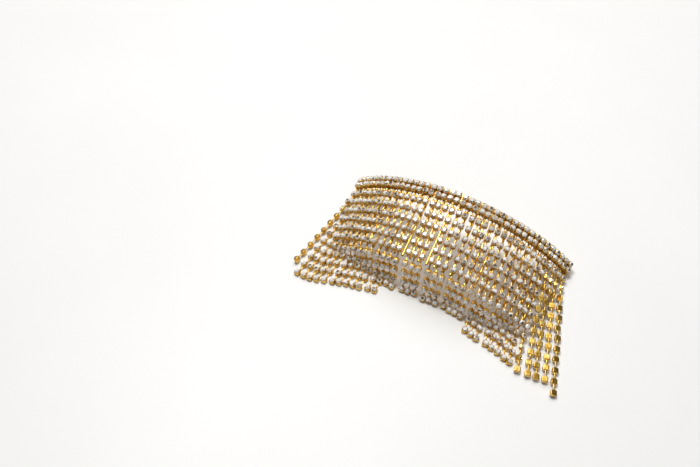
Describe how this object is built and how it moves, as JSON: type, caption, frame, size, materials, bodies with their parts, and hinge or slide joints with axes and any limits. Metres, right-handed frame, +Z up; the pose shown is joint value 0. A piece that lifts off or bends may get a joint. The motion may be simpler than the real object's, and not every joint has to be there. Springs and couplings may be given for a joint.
{
  "type": "fringed hair comb",
  "caption": "Arched wire hair comb with a double row of set stones along its header and a fringe of hinged cup-chain strands that drape over its teeth.",
  "frame": {"origin": "middle of the ground that the comb covers, at table level", "axes": "+X along the header from its left end to its right end, the fringe falls towards -Y, +Z up"},
  "size_m": [0.0958, 0.0494, 0.0208],
  "materials": {
    "gold": "polished yellow gold plate",
    "dark_gold": "satin gold plate",
    "crystal": "faceted clear glass with a mirrored back"
  },
  "bodies": {
    "comb": {"header_band": "dark_gold", "header_cups_upper": "gold", "header_cups_lower": "gold", "header_stones_upper": "crystal", "header_stones_lower": "crystal", "end_block_left": "gold", "end_block_right": "gold", "hanger_staples": "gold", "comb_spine": "gold", "comb_teeth": "gold", "solder_joints": "dark_gold"},
    "strand_01": {"strand_01": "gold"},
    "strand_02": {"strand_02": "gold"},
    "strand_03": {"strand_03": "gold"},
    "strand_04": {"strand_04": "gold"},
    "strand_05": {"strand_05": "gold"},
    "strand_06": {"strand_06": "gold"},
    "strand_07": {"strand_07": "gold"},
    "strand_08": {"strand_08": "gold"},
    "strand_09": {"strand_09": "gold"},
    "strand_10": {"strand_10": "gold"},
    "strand_11": {"strand_11": "gold"},
    "strand_12": {"strand_12": "gold"},
    "strand_13": {"strand_13": "gold"},
    "strand_14": {"strand_14": "gold"},
    "strand_15": {"strand_15": "gold"},
    "strand_16": {"strand_16": "gold"},
    "strand_17": {"strand_17": "gold"},
    "strand_18": {"strand_18": "gold"},
    "strand_19": {"strand_19": "gold"},
    "strand_20": {"strand_20": "gold"},
    "strand_21": {"strand_21": "gold"},
    "strand_22": {"strand_22": "gold"},
    "strand_23": {"strand_23": "gold"},
    "strand_24": {"strand_24": "gold"},
    "strand_25": {"strand_25": "gold"},
    "strand_26": {"strand_26": "gold"},
    "strand_27": {"strand_27": "gold"},
    "strand_28": {"strand_28": "gold"},
    "strand_29": {"strand_29": "gold"},
    "strand_30": {"strand_30": "gold"},
    "strand_31": {"strand_31": "gold"},
    "strand_32": {"strand_32": "gold"},
    "strand_33": {"strand_33": "gold"},
    "strand_34": {"strand_34": "gold"},
    "strand_35": {"strand_35": "gold"},
    "strand_36": {"strand_36": "gold"},
    "strand_37": {"strand_37": "gold"},
    "strand_38": {"strand_38": "gold"}
  },
  "joints": [
    {"name": "strand_01_swing", "type": "hinge", "parent": "comb", "child": "strand_01", "pos_m": [-0.04276, 0.01873, 0.00178], "axis": [-0.929, 0.1139, -0.3522], "range_deg": [0, 60]},
    {"name": "strand_02_swing", "type": "hinge", "parent": "comb", "child": "strand_02", "pos_m": [-0.04109, 0.0184, 0.00339], "axis": [-0.9379, 0.0945, -0.3339], "range_deg": [0, 60]},
    {"name": "strand_03_swing", "type": "hinge", "parent": "comb", "child": "strand_03", "pos_m": [-0.03936, 0.01809, 0.00493], "axis": [-0.945, 0.0863, -0.3155], "range_deg": [0, 60]},
    {"name": "strand_04_swing", "type": "hinge", "parent": "comb", "child": "strand_04", "pos_m": [-0.03756, 0.01779, 0.00639], "axis": [-0.951, 0.0858, -0.297], "range_deg": [0, 60]},
    {"name": "strand_05_swing", "type": "hinge", "parent": "comb", "child": "strand_05", "pos_m": [-0.03569, 0.01751, 0.00777], "axis": [-0.9566, 0.0858, -0.2784], "range_deg": [0, 60]},
    {"name": "strand_06_swing", "type": "hinge", "parent": "comb", "child": "strand_06", "pos_m": [-0.03377, 0.01725, 0.00908], "axis": [-0.9619, 0.0861, -0.2596], "range_deg": [0, 60]},
    {"name": "strand_07_swing", "type": "hinge", "parent": "comb", "child": "strand_07", "pos_m": [-0.03179, 0.017, 0.0103], "axis": [-0.9681, 0.0697, -0.2408], "range_deg": [0, 60]},
    {"name": "strand_08_swing", "type": "hinge", "parent": "comb", "child": "strand_08", "pos_m": [-0.02976, 0.01677, 0.01144], "axis": [-0.9726, 0.0688, -0.2219], "range_deg": [0, 60]},
    {"name": "strand_09_swing", "type": "hinge", "parent": "comb", "child": "strand_09", "pos_m": [-0.02768, 0.01655, 0.01249], "axis": [-0.9769, 0.0676, -0.2029], "range_deg": [0, 60]},
    {"name": "strand_10_swing", "type": "hinge", "parent": "comb", "child": "strand_10", "pos_m": [-0.02555, 0.01636, 0.01345], "axis": [-0.9808, 0.0656, -0.1838], "range_deg": [0, 60]},
    {"name": "strand_11_swing", "type": "hinge", "parent": "comb", "child": "strand_11", "pos_m": [-0.02339, 0.01618, 0.01432], "axis": [-0.9843, 0.063, -0.1646], "range_deg": [0, 60]},
    {"name": "strand_12_swing", "type": "hinge", "parent": "comb", "child": "strand_12", "pos_m": [-0.02118, 0.01602, 0.01509], "axis": [-0.9886, 0.0392, -0.1454], "range_deg": [0, 60]},
    {"name": "strand_13_swing", "type": "hinge", "parent": "comb", "child": "strand_13", "pos_m": [-0.01895, 0.01588, 0.01578], "axis": [-0.9914, 0.0358, -0.1261], "range_deg": [0, 60]},
    {"name": "strand_14_swing", "type": "hinge", "parent": "comb", "child": "strand_14", "pos_m": [-0.01669, 0.01576, 0.01637], "axis": [-0.9938, 0.0323, -0.1068], "range_deg": [0, 60]},
    {"name": "strand_15_swing", "type": "hinge", "parent": "comb", "child": "strand_15", "pos_m": [-0.0144, 0.01566, 0.01686], "axis": [-0.9958, 0.0278, -0.0874], "range_deg": [0, 60]},
    {"name": "strand_16_swing", "type": "hinge", "parent": "comb", "child": "strand_16", "pos_m": [-0.0121, 0.01558, 0.01725], "axis": [-0.9973, -0.0259, -0.068], "range_deg": [0, 60]},
    {"name": "strand_17_swing", "type": "hinge", "parent": "comb", "child": "strand_17", "pos_m": [-0.00978, 0.01552, 0.01755], "axis": [-0.9983, -0.0306, -0.0486], "range_deg": [0, 60]},
    {"name": "strand_18_swing", "type": "hinge", "parent": "comb", "child": "strand_18", "pos_m": [-0.00745, 0.01548, 0.01775], "axis": [-0.9989, -0.0359, -0.0292], "range_deg": [0, 60]},
    {"name": "strand_19_swing", "type": "hinge", "parent": "comb", "child": "strand_19", "pos_m": [-0.00511, 0.01546, 0.01784], "axis": [-0.9962, -0.0864, -0.0097], "range_deg": [0, 60]},
    {"name": "strand_20_swing", "type": "hinge", "parent": "comb", "child": "strand_20", "pos_m": [-0.00277, 0.01546, 0.01784], "axis": [-0.9957, -0.0924, 0.0097], "range_deg": [0, 60]},
    {"name": "strand_21_swing", "type": "hinge", "parent": "comb", "child": "strand_21", "pos_m": [-0.00043, 0.01548, 0.01775], "axis": [-0.9949, -0.0966, 0.0292], "range_deg": [0, 60]},
    {"name": "strand_22_swing", "type": "hinge", "parent": "comb", "child": "strand_22", "pos_m": [0.0019, 0.01552, 0.01755], "axis": [-0.9901, -0.132, 0.0486], "range_deg": [0, 60]},
    {"name": "strand_23_swing", "type": "hinge", "parent": "comb", "child": "strand_23", "pos_m": [0.00422, 0.01558, 0.01725], "axis": [-0.9888, -0.1328, 0.068], "range_deg": [0, 60]},
    {"name": "strand_24_swing", "type": "hinge", "parent": "comb", "child": "strand_24", "pos_m": [0.00652, 0.01566, 0.01686], "axis": [-0.9868, -0.136, 0.0874], "range_deg": [0, 60]},
    {"name": "strand_25_swing", "type": "hinge", "parent": "comb", "child": "strand_25", "pos_m": [0.00881, 0.01576, 0.01637], "axis": [-0.9846, -0.1382, 0.1068], "range_deg": [0, 60]},
    {"name": "strand_26_swing", "type": "hinge", "parent": "comb", "child": "strand_26", "pos_m": [0.01107, 0.01588, 0.01578], "axis": [-0.9786, -0.1625, 0.1261], "range_deg": [0, 60]},
    {"name": "strand_27_swing", "type": "hinge", "parent": "comb", "child": "strand_27", "pos_m": [0.0133, 0.01602, 0.01509], "axis": [-0.976, -0.1623, 0.1454], "range_deg": [0, 60]},
    {"name": "strand_28_swing", "type": "hinge", "parent": "comb", "child": "strand_28", "pos_m": [0.01551, 0.01618, 0.01432], "axis": [-0.9726, -0.1643, 0.1646], "range_deg": [0, 60]},
    {"name": "strand_29_swing", "type": "hinge", "parent": "comb", "child": "strand_29", "pos_m": [0.01767, 0.01636, 0.01345], "axis": [-0.9647, -0.1886, 0.1838], "range_deg": [0, 60]},
    {"name": "strand_30_swing", "type": "hinge", "parent": "comb", "child": "strand_30", "pos_m": [0.0198, 0.01655, 0.01249], "axis": [-0.9604, -0.1911, 0.2029], "range_deg": [0, 60]},
    {"name": "strand_31_swing", "type": "hinge", "parent": "comb", "child": "strand_31", "pos_m": [0.02188, 0.01677, 0.01144], "axis": [-0.9555, -0.1944, 0.2219], "range_deg": [0, 60]},
    {"name": "strand_32_swing", "type": "hinge", "parent": "comb", "child": "strand_32", "pos_m": [0.02391, 0.017, 0.0103], "axis": [-0.9506, -0.1959, 0.2408], "range_deg": [0, 60]},
    {"name": "strand_33_swing", "type": "hinge", "parent": "comb", "child": "strand_33", "pos_m": [0.02589, 0.01725, 0.00908], "axis": [-0.9459, -0.1948, 0.2596], "range_deg": [0, 60]},
    {"name": "strand_34_swing", "type": "hinge", "parent": "comb", "child": "strand_34", "pos_m": [0.02781, 0.01751, 0.00777], "axis": [-0.9394, -0.2, 0.2784], "range_deg": [0, 60]},
    {"name": "strand_35_swing", "type": "hinge", "parent": "comb", "child": "strand_35", "pos_m": [0.02968, 0.01779, 0.00639], "axis": [-0.9281, -0.2247, 0.297], "range_deg": [0, 60]},
    {"name": "strand_36_swing", "type": "hinge", "parent": "comb", "child": "strand_36", "pos_m": [0.03148, 0.01809, 0.00493], "axis": [-0.92, -0.2325, 0.3155], "range_deg": [0, 60]},
    {"name": "strand_37_swing", "type": "hinge", "parent": "comb", "child": "strand_37", "pos_m": [0.03321, 0.0184, 0.00339], "axis": [-0.9112, -0.2412, 0.3339], "range_deg": [0, 60]},
    {"name": "strand_38_swing", "type": "hinge", "parent": "comb", "child": "strand_38", "pos_m": [0.03488, 0.01873, 0.00178], "axis": [-0.9008, -0.254, 0.3522], "range_deg": [0, 60]}
  ]
}
